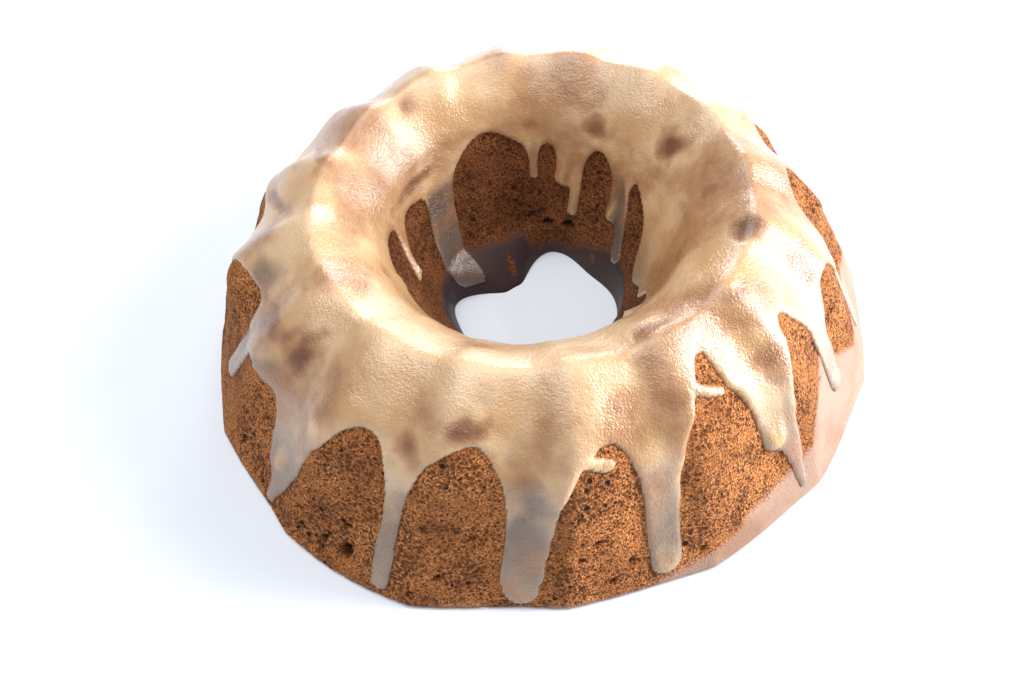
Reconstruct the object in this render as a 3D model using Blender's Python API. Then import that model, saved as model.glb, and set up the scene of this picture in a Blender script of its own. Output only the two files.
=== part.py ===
"""A glazed ring cake: a fluted sponge ring and the thin icing that runs down it.

The ring is one section, swept round the hole and scalloped by sixteen flutes.
The icing is a skin over the same surface, cut out by a field that says how deep
inside the icing each place lies. Units are metres, +Z is up, and the origin is
the middle of the underside of the bounding box.
"""
import math

import bmesh
import bpy
import numpy as np

# The section of the ring, measured from its axis
FOOT_RADIUS = 0.1225
SHOULDER_RADIUS = 0.1040
SHOULDER_HEIGHT = 0.0412
SHOULDER_POWER = 1.50
CREST_RADIUS = 0.0712
CREST_HEIGHT = 0.0688
RIM_POWER = 1.60
HOLE_TOP_RADIUS = 0.0520
HOLE_TOP_HEIGHT = 0.0502
HOLE_FOOT_RADIUS = 0.0335
SKIRT_HEIGHT = 0.0140
EDGE_ROUND = 0.0018
ARC_STEPS = 48

# The ring isn't true: its crest leans to one side, and two sides rose higher
CREST_SHIFT = (0.0, -0.0090)
RISE_PER_METRE = (0.45, 0.50)

# Bulges of the wall: angle and half-width in degrees, then reach at foot and shoulder
BULGES = (
    (-119, 17, 0.0058, 0.0020), (142, 26, -0.0022, -0.0010),
    (22, 24, 0.0008, -0.0040), (178, 20, -0.0028, -0.0005), (-177, 9, -0.0010, 0.0042),
)
FOOT_FADE = 0.33
SHOULDER_PLACE = 0.32
SHOULDER_FADE = 0.25
# Bulges of the baked skirt into the hole: angle, half-width, sharpness and reach
SKIRT_BULGES = ((122, 38, 4, 0.0190), (200, 30, 2, 0.0030), (35, 26, 2, 0.0045))
SKIRT_REACH = 0.0015
SKIRT_POWER = 0.7

# The flutes: a broad face falls from each ridge to the groove, a narrow one climbs on
FLUTES = 16
FIRST_RIDGE = math.radians(-85.8)
SWIRL = math.radians(3.3)
GROOVE_PLACE = 0.625
# Depth of the grooves at fractions of the way over the section
FLUTE_PLACES = (0.00, 0.10, 0.24, 0.36, 0.46, 0.56, 0.66, 1.00)
FLUTE_DEPTHS = (0.0014, 0.0032, 0.0048, 0.0048, 0.0034, 0.0016, 0.0004, 0.0000)
# The ridges are creases at the foot and round over towards the crest
CREST_ROUNDNESS = 0.8
ROUND_FROM = 0.4

# The icing: skin, gap under it, edge bead, and where the sheet ends on either side
ICING_THICK = 0.0018
LOBE_THICK = 0.0014
LOBE_LENGTH = 0.0140
ICING_GAP = 0.0004
BEAD_WIDTH = 0.0026
LEAST_LIFT = 0.5
EDGE_LIFT = 0.25
OUTER_EDGE = 0.0640
INNER_EDGE = 0.1245
CREST_PLACE = 0.0900
OUTER_BLEND = 0.0035
INNER_BLEND = 0.0016
FLARE_REACH = 0.0058
FLARE_LENGTH = 0.0300
INNER_FLARE = 0.35
# Slow waves of the sheet's edge: how many round the ring, height and phase
EDGE_WAVES = ((5, 0.0012, 0.7), (11, 0.0010, 2.1))
# Where the sheet ends higher or lower than elsewhere: angle, half-width and rise
OUTER_HUMPS = (
    (-149, 8, -0.0150), (-101, 5, 0.0050), (-80, 5, 0.0030), (-55.5, 6, 0.0185),
    (-37, 7, 0.0100), (5, 8, 0.0080), (118, 6, 0.0060), (164, 7, -0.0080),
)
INNER_HUMPS = (
    (104, 12, -0.0050), (138, 13, 0.0070), (-5, 27, 0.0270), (-150, 14, 0.0060),
)
# Runs down the outside: angle at the crest, drift, half-width, end and lobe
OUTER_RUNS = (
    (-157.5, -5.0, 0.0044, 0.016, 0.0), (-146.0, 9.0, 0.0036, 0.018, 0.0),
    (-137.5, 0.0, 0.0040, 0.019, 1.0), (-136.8, 0.0, 0.0022, 0.005, 0.0),
    (-131.0, -5.0, 0.0034, 0.024, 0.0), (-115.5, 2.2, 0.0036, 0.004, 0.2),
    (-93.8, 1.1, 0.0052, 0.004, 0.3), (-89.0, -3.5, 0.0036, 0.014, 0.0),
    (-70.8, 0.0, 0.0055, 0.006, 0.6), (-47.6, 0.0, 0.0047, 0.028, 1.0),
    (-45.5, 1.5, 0.0025, 0.006, 0.0), (-27.2, 0.0, 0.0050, 0.018, 0.4),
    (-10.5, 1.0, 0.0050, 0.012, 0.3), (14.0, -1.0, 0.0044, 0.026, 0.8),
    (41.0, 1.0, 0.0052, 0.006, 0.3), (63.5, 0.0, 0.0044, 0.030, 1.0),
    (85.5, 1.5, 0.0054, 0.010, 0.4), (108.0, -1.0, 0.0046, 0.024, 0.9),
    (131.0, 0.0, 0.0050, 0.007, 0.3), (153.0, 1.0, 0.0044, 0.018, 0.6),
    (178.0, 1.0, 0.0042, 0.009, 0.3),
)
# Runs down the hole, in the same terms
INNER_RUNS = (
    (86.8, 0.0, 0.0017, 0.1400, 0.0), (72.0, 0.0, 0.0033, 0.1415, 1.0),
    (65.0, -1.0, 0.0022, 0.1535, 0.5), (48.0, -27.0, 0.0032, 0.1600, 0.0),
    (39.5, 0.0, 0.0030, 0.1485, 1.0), (132.0, 26.0, 0.0068, 0.1685, 0.0),
    (163.0, 22.0, 0.0028, 0.1440, 0.8), (-158.0, 0.0, 0.0040, 0.1275, 0.5),
    (-118.0, 0.0, 0.0030, 0.1440, 0.8), (-84.0, 2.0, 0.0036, 0.1560, 0.6),
    (-46.0, 0.0, 0.0026, 0.1370, 0.8), (-20.0, 0.0, 0.0050, 0.1460, 0.0),
)

# Columns round the ring, and rows over its section after the one at the foot
COLUMNS = FLUTES * 8
ROWS = 21
# A cut edge keeps this far from the corners of its triangle, as a share of the side
CUT_MARGIN = 0.08

SPONGE_COLOUR = (0.27, 0.115, 0.040, 1.0)
SPONGE_ROUGHNESS = 0.85
ICING_COLOUR = (0.62, 0.40, 0.20, 1.0)
ICING_ROUGHNESS = 0.25


def angle_gap(angle, centre):
    """Return the signed turn from centre to angle, between -pi and pi."""
    return (angle - centre + math.pi) % (2 * math.pi) - math.pi


def hump(angle, centre, width, sharpness=2):
    """Return a bell of height one round an angle of the ring, given in degrees."""
    gap = np.abs(angle_gap(angle, math.radians(centre)))
    return np.exp(-(gap / math.radians(width)) ** sharpness)


def section():
    """Return radius, height and length along the section, outer foot to inner foot."""
    turn = np.linspace(0.0, math.pi / 2, ARC_STEPS)
    shoulder_out = np.cos(turn) ** SHOULDER_POWER
    shoulder_up = np.sin(turn) ** SHOULDER_POWER
    rim_in = np.sin(turn[1:]) ** RIM_POWER
    rim_up = np.cos(turn[1:]) ** RIM_POWER
    radius = np.concatenate([
        FOOT_RADIUS - EDGE_ROUND * (1 - np.sin(turn)),
        CREST_RADIUS + (SHOULDER_RADIUS - CREST_RADIUS) * shoulder_out,
        CREST_RADIUS - (CREST_RADIUS - HOLE_TOP_RADIUS) * rim_in,
        [HOLE_FOOT_RADIUS, HOLE_FOOT_RADIUS],
    ])
    height = np.concatenate([
        EDGE_ROUND * (1 - np.cos(turn)),
        SHOULDER_HEIGHT + (CREST_HEIGHT - SHOULDER_HEIGHT) * shoulder_up,
        HOLE_TOP_HEIGHT + (CREST_HEIGHT - HOLE_TOP_HEIGHT) * rim_up,
        [SKIRT_HEIGHT, 0.0],
    ])
    step = np.hypot(np.diff(radius), np.diff(height))
    return radius, height, np.concatenate([[0.0], np.cumsum(step)])


SECTION_RADIUS, SECTION_HEIGHT, SECTION_PLACE = section()
LENGTH = SECTION_PLACE[-1]
HEEL_LENGTH = EDGE_ROUND * math.pi / 2


def radius_at(along):
    """Return the radius of the plain section at a length along it."""
    return np.interp(along, SECTION_PLACE, SECTION_RADIUS)


def height_at(along):
    """Return the height of the plain section at a length along it."""
    return np.interp(along, SECTION_PLACE, SECTION_HEIGHT)


def section_normal(along):
    """Return the outward direction of the plain section, as radius and height parts."""
    reach = 0.0035
    ahead = np.clip(along + reach, 0.0, LENGTH)
    behind = np.clip(along - reach, 0.0, LENGTH)
    run = radius_at(ahead) - radius_at(behind)
    rise = height_at(ahead) - height_at(behind)
    span = np.hypot(run, rise)
    return rise / span, -run / span


def flute_depth(angle, along):
    """Return how far the grooves sink below the ridges."""
    part = ((angle - FIRST_RIDGE) * FLUTES / (2 * math.pi)) % 1.0
    falling = np.sin(part / GROOVE_PLACE * math.pi / 2)
    climbing = np.sin((1 - part) / (1 - GROOVE_PLACE) * math.pi / 2)
    shape = np.clip(np.where(part < GROOVE_PLACE, falling, climbing), 0.0, 1.0)
    way = along / LENGTH
    roundness = 1.0 + CREST_ROUNDNESS * np.clip(way / ROUND_FROM, 0.0, 1.0)
    return np.interp(way, FLUTE_PLACES, FLUTE_DEPTHS) * shape ** roundness


def surface(angle, along):
    """Return points of the cake for angles round it and lengths along its section."""
    radius = radius_at(along)
    height = height_at(along)
    out, up = section_normal(along)
    depth = flute_depth(angle, along)
    on_top = np.clip(height / CREST_HEIGHT * 2 - 1, 0.0, 1.0)
    radius = radius - depth * out
    height = height - depth * up * on_top
    turned = angle - SWIRL * (1 - height / CREST_HEIGHT)
    way = along / LENGTH
    at_foot = np.clip(1 - way / FOOT_FADE, 0.0, 1.0)
    at_shoulder = np.clip(1 - np.abs(way - SHOULDER_PLACE) / SHOULDER_FADE, 0.0, 1.0)
    for centre, width, foot, shoulder in BULGES:
        radius = radius + (foot * at_foot + shoulder * at_shoulder) * hump(turned, centre, width)
    reach = SKIRT_REACH
    for centre, width, sharpness, bulge in SKIRT_BULGES:
        reach = reach + bulge * hump(turned, centre, width, sharpness)
    low = np.clip(1 - height / SKIRT_HEIGHT, 0.0, 1.0) ** SKIRT_POWER
    radius = radius - np.where(along > CREST_PLACE, low * reach, 0.0)
    lift = height / CREST_HEIGHT
    x = radius * np.cos(turned) + CREST_SHIFT[0] * lift
    y = radius * np.sin(turned) + CREST_SHIFT[1] * lift
    z = height * (1 + RISE_PER_METRE[0] * x + RISE_PER_METRE[1] * y)
    return np.stack([x, y, z], axis=-1)


def surface_normals(angle, along):
    """Return unit outward normals of the cake's surface."""
    turn = 0.004
    reach = 0.0008
    round_ring = surface(angle + turn, along) - surface(angle - turn, along)
    over_top = surface(angle, np.minimum(along + reach, LENGTH)) - surface(angle, along - reach)
    normal = np.cross(round_ring, over_top)
    return normal / np.linalg.norm(normal, axis=-1, keepdims=True)


def join(fields, blend):
    """Merge fields into their softened maximum, so that runs flow into the sheet."""
    stack = np.stack(fields)
    top = stack.max(axis=0)
    return top + blend * np.log(np.exp((stack - top) / blend).sum(axis=0))


def run_field(angle, along, run, outside):
    """Return the depth inside one run of icing, and how much it swells at its end."""
    place, drift, half, end, lobe = run
    sheet = OUTER_EDGE if outside else INNER_EDGE
    way = -1.0 if outside else 1.0
    spread = 1.0 if outside else INNER_FLARE
    travel = np.clip((along - sheet) / (end - sheet), 0.0, 1.2)
    middle = math.radians(place) + math.radians(drift) * travel
    across = np.abs(angle_gap(angle, middle)) * radius_at(along)
    rising = 1 - way * (along - sheet) / (FLARE_LENGTH * spread)
    flare = FLARE_REACH * spread * np.clip(rising, 0.0, 1.0) ** 2
    past = np.maximum(way * (along - end) + half, 0.0)
    near_end = np.clip(1 - np.abs(along - end) / LOBE_LENGTH, 0.0, 1.0)
    return half + flare - np.hypot(across, past), lobe * near_end


def sheet_edge(angle, edge, humps):
    """Return where the sheet of icing ends, as a length along the section."""
    for count, height, phase in EDGE_WAVES:
        edge = edge + height * np.sin(count * angle + phase)
    for centre, width, rise in humps:
        edge = edge + rise * hump(angle, centre, width)
    return edge


def icing(angle, along):
    """Return the depth inside the icing's outline, and the swelling of its drips."""
    outer = [run_field(angle, along, run, True) for run in OUTER_RUNS]
    inner = [run_field(angle, along, run, False) for run in INNER_RUNS]
    outer_sheet = along - sheet_edge(angle, OUTER_EDGE, OUTER_HUMPS)
    inner_sheet = sheet_edge(angle, INNER_EDGE, INNER_HUMPS) - along
    outside = join([outer_sheet] + [field for field, swell in outer], OUTER_BLEND)
    inside = join([inner_sheet] + [field for field, swell in inner], INNER_BLEND)
    depth = np.where(along < CREST_PLACE, outside, inside)
    swelling = np.zeros_like(depth)
    for field, swell in outer + inner:
        swelling = np.maximum(swelling, swell * np.clip(field / BEAD_WIDTH, 0.0, 1.0))
    return np.minimum(depth, 4 * BEAD_WIDTH), swelling


def grid():
    """Return the angles and section places of the grid that both pieces share."""
    angles = FIRST_RIDGE + np.arange(COLUMNS) * 2 * math.pi / COLUMNS
    places = np.concatenate([[0.0], np.linspace(HEEL_LENGTH, LENGTH, ROWS)])
    return np.meshgrid(angles, places, indexing="ij")


def centre_shift():
    """Return the move that puts the origin under the middle of the ring's box."""
    corners = surface(*grid())
    low = corners.min(axis=(0, 1))
    high = corners.max(axis=(0, 1))
    return np.array([-(low[0] + high[0]) / 2, -(low[1] + high[1]) / 2, 0.0])


def plain_material(name, colour, roughness):
    """Make a Principled material of one colour and roughness."""
    material = bpy.data.materials.new(name)
    material.use_nodes = True
    shader = material.node_tree.nodes["Principled BSDF"]
    shader.inputs["Base Color"].default_value = colour
    shader.inputs["Roughness"].default_value = roughness
    shader.inputs["Metallic"].default_value = 0.0
    return material


def add_object(name, points, faces, material):
    """Make a smooth-shaded object of one material, its faces pointing out."""
    mesh = bpy.data.meshes.new(name)
    mesh.from_pydata([tuple(point) for point in points], [], faces)
    body = bmesh.new()
    body.from_mesh(mesh)
    bmesh.ops.recalc_face_normals(body, faces=body.faces)
    body.to_mesh(mesh)
    body.free()
    mesh.shade_smooth()
    mesh.materials.append(material)
    thing = bpy.data.objects.new(name, mesh)
    bpy.context.scene.collection.objects.link(thing)
    return thing


def make_cake(shift):
    """Close the section's grid round the ring, with a flat underside."""
    angles, places = grid()
    points = (surface(angles, places) + shift).reshape(-1, 3)
    rows = places.shape[1]
    faces = []
    for column in range(COLUMNS):
        here = column * rows
        there = (column + 1) % COLUMNS * rows
        for row in range(rows):
            after = (row + 1) % rows
            faces.append((here + row, there + row, there + after))
            faces.append((here + row, there + after, here + after))
    return add_object("cake", points, faces, plain_material("sponge", SPONGE_COLOUR, SPONGE_ROUGHNESS))


def cut_triangle(corners, depth):
    """Return the corners of the part inside the icing, each as a pair of grid points.

    A pair of the same number is a grid point, and a pair of two numbers is the
    place between them where the icing's edge crosses the side.
    """
    pairs = []
    for here, there in zip(corners, corners[1:] + corners[:1]):
        inside = depth[here] > 0
        if inside:
            pairs.append((here, here))
        if inside != (depth[there] > 0):
            pairs.append((min(here, there), max(here, there)))
    return pairs


def skin_points(pairs, base, normals, depth, thick):
    """Return the top and underside points of the skin for each pair, and their numbers."""
    points = []
    top_of = {}
    under_of = {}
    for first, second in pairs:
        if first == second:
            spot, normal = base[first], normals[first]
            under_of[first, second] = len(points)
            points.append(spot + normal * ICING_GAP)
            top_of[first, second] = len(points)
            points.append(spot + normal * (ICING_GAP + thick[first]))
        else:
            part = depth[first] / (depth[first] - depth[second])
            part = min(max(part, CUT_MARGIN), 1 - CUT_MARGIN)
            spot = base[first] * (1 - part) + base[second] * part
            normal = normals[first] * (1 - part) + normals[second] * part
            under_of[first, second] = top_of[first, second] = len(points)
            points.append(spot + normal * (ICING_GAP + ICING_THICK * EDGE_LIFT))
    return points, top_of, under_of


def make_glaze(shift):
    """Skin the part of the grid inside the icing's outline, top and underside."""
    angles, places = grid()
    rows = places.shape[1]
    base = (surface(angles, places) + shift).reshape(-1, 3)
    normals = surface_normals(angles, places).reshape(-1, 3)
    depth, swell = [values.reshape(-1) for values in icing(angles, places)]
    bead = 1 - np.clip(depth / BEAD_WIDTH, 0.0, 1.0)
    thick = (ICING_THICK + LOBE_THICK * swell) * np.maximum(np.sqrt(1 - bead ** 2), LEAST_LIFT)
    fans = []
    for column in range(COLUMNS):
        here = column * rows
        there = (column + 1) % COLUMNS * rows
        for row in range(rows - 1):
            lower = (here + row, there + row, there + row + 1)
            upper = (here + row, there + row + 1, here + row + 1)
            for corners in (lower, upper):
                pairs = cut_triangle(corners, depth)
                for step in range(1, len(pairs) - 1):
                    fans.append((pairs[0], pairs[step], pairs[step + 1]))
    pairs = dict.fromkeys(pair for fan in fans for pair in fan)
    points, top_of, under_of = skin_points(pairs, base, normals, depth, thick)
    faces = [[top_of[pair] for pair in fan] for fan in fans]
    faces += [[under_of[pair] for pair in reversed(fan)] for fan in fans]
    return add_object("glaze", points, faces, plain_material("icing", ICING_COLOUR, ICING_ROUGHNESS))


def main():
    """Clear the scene and build the ring and its icing."""
    for thing in list(bpy.data.objects):
        bpy.data.objects.remove(thing, do_unlink=True)
    shift = centre_shift()
    make_cake(shift)
    make_glaze(shift)


main()
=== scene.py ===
# %% [markdown]
# # A glazed ring cake
#
# The real cake is a brown sponge baked in a fluted ring tin, turned out, and covered
# with a warm pourable icing that ran down its grooves and into its hole. This file
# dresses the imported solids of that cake: it gives the sponge its open crumb, and the
# icing its rounded edges, its gloss and its thin places.
#
# First the solids are loaded. They stay where they are, and everything below is
# made around them, in metres.

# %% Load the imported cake
import math

import bpy
import numpy as np
from mathutils import Matrix, Vector


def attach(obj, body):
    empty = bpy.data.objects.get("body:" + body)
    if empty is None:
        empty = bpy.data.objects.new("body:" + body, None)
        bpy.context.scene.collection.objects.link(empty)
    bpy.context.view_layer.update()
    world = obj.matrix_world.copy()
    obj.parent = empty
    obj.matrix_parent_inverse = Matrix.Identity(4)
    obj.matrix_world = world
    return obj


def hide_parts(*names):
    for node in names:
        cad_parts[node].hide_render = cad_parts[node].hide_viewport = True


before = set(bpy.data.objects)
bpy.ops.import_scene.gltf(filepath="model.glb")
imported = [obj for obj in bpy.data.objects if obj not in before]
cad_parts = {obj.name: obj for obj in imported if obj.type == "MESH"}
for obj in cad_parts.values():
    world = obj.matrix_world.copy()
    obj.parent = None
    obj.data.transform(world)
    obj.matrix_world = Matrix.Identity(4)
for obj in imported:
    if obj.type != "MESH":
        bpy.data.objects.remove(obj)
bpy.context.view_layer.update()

print("solids:", sorted(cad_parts))

# %% [markdown]
# ## The camera
#
# The cake is seen from above and in front, at about half a right angle. The camera is
# placed by a target on the table, a distance back along the line of sight, and a small
# roll, because the real one was held a little askew. A camera close by gives the strong
# narrowing towards the back; a longer lens from further off would flatten it.

# %% Camera
IMAGE_WIDTH = 1024
FOCAL_PIXELS = 1002.0
SENSOR_MM = 36.0
CAMERA_TILT = math.radians(50.497)
CAMERA_ROLL = math.radians(-3.972)
CAMERA_DISTANCE = 0.37362
CAMERA_TARGET = np.array([-0.01110, -0.01426, 0.0])


def camera_axes(tilt, roll):
    """Return right, up and forward: forward leans down by the tilt, the others then roll."""
    ahead = np.array([0.0, math.cos(tilt), -math.sin(tilt)])
    level = np.array([1.0, 0.0, 0.0])
    upright = np.cross(level, ahead)
    side = math.cos(roll) * level + math.sin(roll) * upright
    top = math.cos(roll) * upright - math.sin(roll) * level
    return side, top, ahead


camera_data = bpy.data.cameras.new("camera")
camera_data.sensor_width = SENSOR_MM
camera_data.lens = FOCAL_PIXELS / IMAGE_WIDTH * SENSOR_MM
camera_data.clip_start = 0.01
camera = bpy.data.objects.new("camera", camera_data)
bpy.context.scene.collection.objects.link(camera)
right, up, forward = camera_axes(CAMERA_TILT, CAMERA_ROLL)
placement = np.eye(4)
placement[:3, :3] = np.stack([right, up, -forward], axis=1)
placement[:3, 3] = CAMERA_TARGET - CAMERA_DISTANCE * forward
camera.matrix_world = Matrix(placement.tolist())
bpy.context.scene.camera = camera
print("camera at", placement[:3, 3].round(3), "with a lens of", round(camera_data.lens, 2), "mm")

# %% [markdown]
# ## The form of the ring
#
# Both pieces lie on one surface, so it is written once, as a function of two numbers:
# the angle round the ring, and the length along its section from the outer foot over
# the crest to the foot of the hole. A sculpted mesh would be quicker to start, but
# with a function the icing can be laid exactly on the sponge, and the same numbers
# make the solids. Here are the numbers of the section.

# %% The section's numbers
FOOT_RADIUS = 0.1225
SHOULDER_RADIUS = 0.1040
SHOULDER_HEIGHT = 0.0412
SHOULDER_POWER = 1.50
CREST_RADIUS = 0.0712
CREST_HEIGHT = 0.0688
RIM_POWER = 1.60
HOLE_TOP_RADIUS = 0.0520
HOLE_TOP_HEIGHT = 0.0502
HOLE_FOOT_RADIUS = 0.0335
SKIRT_HEIGHT = 0.0140
EDGE_ROUND = 0.0018
CREST_SHIFT = (0.0, -0.0090)
RISE_PER_METRE = (0.45, 0.50)
# Where the middle of the ring's box lies from the axis of its section
CENTRE = np.array([-0.00203958, 0.00038035, 0.0])
# Bulges of the wall: angle, half-width, reach at the foot and at the shoulder
BULGES = (
    (-119, 17, 0.0058, 0.0020), (142, 26, -0.0022, -0.0010),
    (22, 24, 0.0008, -0.0040), (178, 20, -0.0028, -0.0005), (-177, 9, -0.0010, 0.0042),
)
SKIRT_BULGES = ((122, 38, 4, 0.0190), (200, 30, 2, 0.0030), (35, 26, 2, 0.0045))
FLUTES = 16
FIRST_RIDGE = math.radians(-85.8)
SWIRL = math.radians(3.3)
GROOVE_PLACE = 0.625
FLUTE_PLACES = (0.00, 0.10, 0.24, 0.36, 0.46, 0.56, 0.66, 1.00)
FLUTE_DEPTHS = (0.0014, 0.0032, 0.0048, 0.0048, 0.0034, 0.0016, 0.0004, 0.0000)
CREST_PLACE = 0.0900
# The ridges are sharp at the foot, and get rounder up to this share of the section
FLUTE_ROUNDING = 0.8
ROUND_FROM = 0.4
# The bulges of the wall act round the foot and round the shoulder, in shares of the section
FOOT_SPAN = 0.33
SHOULDER_SHARE = 0.32
SHOULDER_SPAN = 0.25
# How far the skirt comes in all round, and how fast it fades upwards
SKIRT_REACH = 0.0015
SKIRT_POWER = 0.7


def section(steps=48):
    """Return radius, height and length along the section.

    A quarter circle rounds the foot, a powered quarter ellipse climbs to the crest,
    another falls to the rim of the hole, and two straight lines reach the table.
    """
    turn = np.linspace(0.0, math.pi / 2, steps)
    rim = turn[1:]
    radius = np.concatenate([
        FOOT_RADIUS - EDGE_ROUND * (1 - np.sin(turn)),
        CREST_RADIUS + (SHOULDER_RADIUS - CREST_RADIUS) * np.cos(turn) ** SHOULDER_POWER,
        CREST_RADIUS - (CREST_RADIUS - HOLE_TOP_RADIUS) * np.sin(rim) ** RIM_POWER,
        [HOLE_FOOT_RADIUS, HOLE_FOOT_RADIUS],
    ])
    height = np.concatenate([
        EDGE_ROUND * (1 - np.cos(turn)),
        SHOULDER_HEIGHT + (CREST_HEIGHT - SHOULDER_HEIGHT) * np.sin(turn) ** SHOULDER_POWER,
        HOLE_TOP_HEIGHT + (CREST_HEIGHT - HOLE_TOP_HEIGHT) * np.cos(rim) ** RIM_POWER,
        [SKIRT_HEIGHT, 0.0],
    ])
    length = np.concatenate([[0.0], np.cumsum(np.hypot(np.diff(radius), np.diff(height)))])
    return radius, height, length


SECTION_RADIUS, SECTION_HEIGHT, SECTION_PLACE = section()
LENGTH = SECTION_PLACE[-1]
print("the section is", round(LENGTH * 1000, 1), "mm long")

# %% [markdown]
# The flutes are grooves that sink below the ridges: from each ridge a broad face falls
# to the groove and a narrow one climbs to the next ridge. The ring also leans and
# bulges a little, as a real cake does when it rises unevenly.

# %% The ring as a function
def angle_gap(angle, centre):
    """Return the signed turn from centre to angle, between -pi and pi."""
    return (angle - centre + math.pi) % (2 * math.pi) - math.pi


def hump(angle, centre, width, sharpness=2):
    """Return a bell of height one round an angle given in degrees: e to minus gap squared."""
    gap = np.abs(angle_gap(angle, math.radians(centre)))
    return np.exp(-(gap / math.radians(width)) ** sharpness)


def section_normal(along, reach=0.0035):
    """Return the outward direction of the section: its slope over a short reach, turned."""
    ahead = np.clip(along + reach, 0.0, LENGTH)
    behind = np.clip(along - reach, 0.0, LENGTH)
    run = np.interp(ahead, SECTION_PLACE, SECTION_RADIUS)
    run = run - np.interp(behind, SECTION_PLACE, SECTION_RADIUS)
    rise = np.interp(ahead, SECTION_PLACE, SECTION_HEIGHT)
    rise = rise - np.interp(behind, SECTION_PLACE, SECTION_HEIGHT)
    span = np.hypot(run, rise)
    return rise / span, -run / span


def flute_depth(angle, along):
    """Return how far the grooves sink: a sine down to the groove, and a steeper one up."""
    part = ((angle - FIRST_RIDGE) * FLUTES / (2 * math.pi)) % 1.0
    falling = np.sin(part / GROOVE_PLACE * math.pi / 2)
    climbing = np.sin((1 - part) / (1 - GROOVE_PLACE) * math.pi / 2)
    shape = np.clip(np.where(part < GROOVE_PLACE, falling, climbing), 0.0, 1.0)
    roundness = 1.0 + FLUTE_ROUNDING * np.clip(along / LENGTH / ROUND_FROM, 0.0, 1.0)
    return np.interp(along / LENGTH, FLUTE_PLACES, FLUTE_DEPTHS) * shape ** roundness


def ring(angle, along):
    """Return points of the ring: the section less its flutes, turned round the axis."""
    radius = np.interp(along, SECTION_PLACE, SECTION_RADIUS)
    height = np.interp(along, SECTION_PLACE, SECTION_HEIGHT)
    out, over = section_normal(along)
    depth = flute_depth(angle, along)
    on_top = np.clip(height / CREST_HEIGHT * 2 - 1, 0.0, 1.0)
    radius = radius - depth * out
    height = height - depth * over * on_top
    turned = angle - SWIRL * (1 - height / CREST_HEIGHT)
    way = along / LENGTH
    at_foot = np.clip(1 - way / FOOT_SPAN, 0.0, 1.0)
    at_shoulder = np.clip(1 - np.abs(way - SHOULDER_SHARE) / SHOULDER_SPAN, 0.0, 1.0)
    for centre, width, foot, shoulder in BULGES:
        radius = radius + (foot * at_foot + shoulder * at_shoulder) * hump(turned, centre, width)
    reach = SKIRT_REACH
    for centre, width, sharpness, bulge in SKIRT_BULGES:
        reach = reach + bulge * hump(turned, centre, width, sharpness)
    low = np.clip(1 - height / SKIRT_HEIGHT, 0.0, 1.0) ** SKIRT_POWER
    radius = radius - np.where(along > CREST_PLACE, low * reach, 0.0)
    lift = height / CREST_HEIGHT
    x = radius * np.cos(turned) + CREST_SHIFT[0] * lift
    y = radius * np.sin(turned) + CREST_SHIFT[1] * lift
    z = height * (1 + RISE_PER_METRE[0] * x + RISE_PER_METRE[1] * y)
    return np.stack([x, y, z], axis=-1) + CENTRE


def ring_normals(angle, along, turn=0.004, reach=0.0008):
    """Return unit outward normals: the cross product of a step round and a step along."""
    round_ring = ring(angle + turn, along) - ring(angle - turn, along)
    over_top = ring(angle, np.minimum(along + reach, LENGTH)) - ring(angle, along - reach)
    normal = np.cross(round_ring, over_top)
    return normal / np.linalg.norm(normal, axis=-1, keepdims=True)


sample_angle, sample_along = np.meshgrid(
    np.linspace(0, 2 * math.pi, 181), np.linspace(0, LENGTH, 90), indexing="ij",
)
sample = ring(sample_angle, sample_along)
print("ring from", sample.min(axis=(0, 1)).round(4), "to", sample.max(axis=(0, 1)).round(4))

# %% [markdown]
# ## Chance that comes out the same each time
#
# Crumb and icing are uneven, so both need a random value at each point of space that
# doesn't change from run to run. The whole-number cell that a point lies in is
# scrambled into a number. Blended between cells, that gives a smooth noise, and one
# random ball in each cell gives the bubbles of a crumb.

# %% Noise and bubbles
def scramble(cells, salt):
    """Give each whole-number cell a repeatable value from 0 to 1, by mixing its bits."""
    cells = cells.astype(np.int64)
    mixed = cells[..., 0] * 73856093 ^ cells[..., 1] * 19349663 ^ cells[..., 2] * 83492791
    mixed = (mixed ^ (salt * 97531)) & 0x7FFFFFFF
    mixed = ((mixed ^ (mixed >> 15)) * 739982445) & 0x7FFFFFFF
    mixed = ((mixed ^ (mixed >> 12)) * 695872825) & 0x7FFFFFFF
    return (mixed ^ (mixed >> 15)) / 0x7FFFFFFF


def noise(points, size, salt):
    """Blend the values of the eight cell corners round each point: from -1 to 1."""
    places = points / size
    low = np.floor(places)
    part = places - low
    part = part * part * (3 - 2 * part)
    total = np.zeros(points.shape[:-1])
    for corner in np.ndindex(2, 2, 2):
        corner = np.array(corner)
        weight = np.where(corner == 1, part, 1 - part).prod(axis=-1)
        total = total + weight * scramble(low + corner, salt)
    return total * 2 - 1


def layered(points, layers, salt):
    """Add up noises of several sizes: each layer is an amount and a size."""
    return sum(amount * noise(points, size, salt + k) for k, (amount, size) in enumerate(layers))


def bubbles(points, spacing, least, most, share, salt):
    """Return how deep each point lies in a random ball: 1 at its centre, 0 at its skin.

    Each cell of the given spacing holds one ball at a random place, and only a share
    of the cells count. The radius goes from least to most, and small ones are common.
    """
    low = np.floor(points / spacing)
    deepest = np.zeros(points.shape[:-1])
    for step in np.ndindex(3, 3, 3):
        cell = low + np.array(step) - 1
        middle = np.stack([cell[..., k] + scramble(cell, salt + k) for k in range(3)], axis=-1) * spacing
        radius = least + (most - least) * scramble(cell, salt + 3) ** 3
        radius = np.where(scramble(cell, salt + 4) < share, radius, 1e-9)
        away = np.linalg.norm(points - middle, axis=-1) / radius
        deepest = np.maximum(deepest, 1 - away)
    return deepest


spread = noise(sample, 0.01, 1)
print("noise from", round(float(spread.min()), 2), "to", round(float(spread.max()), 2))

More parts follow.
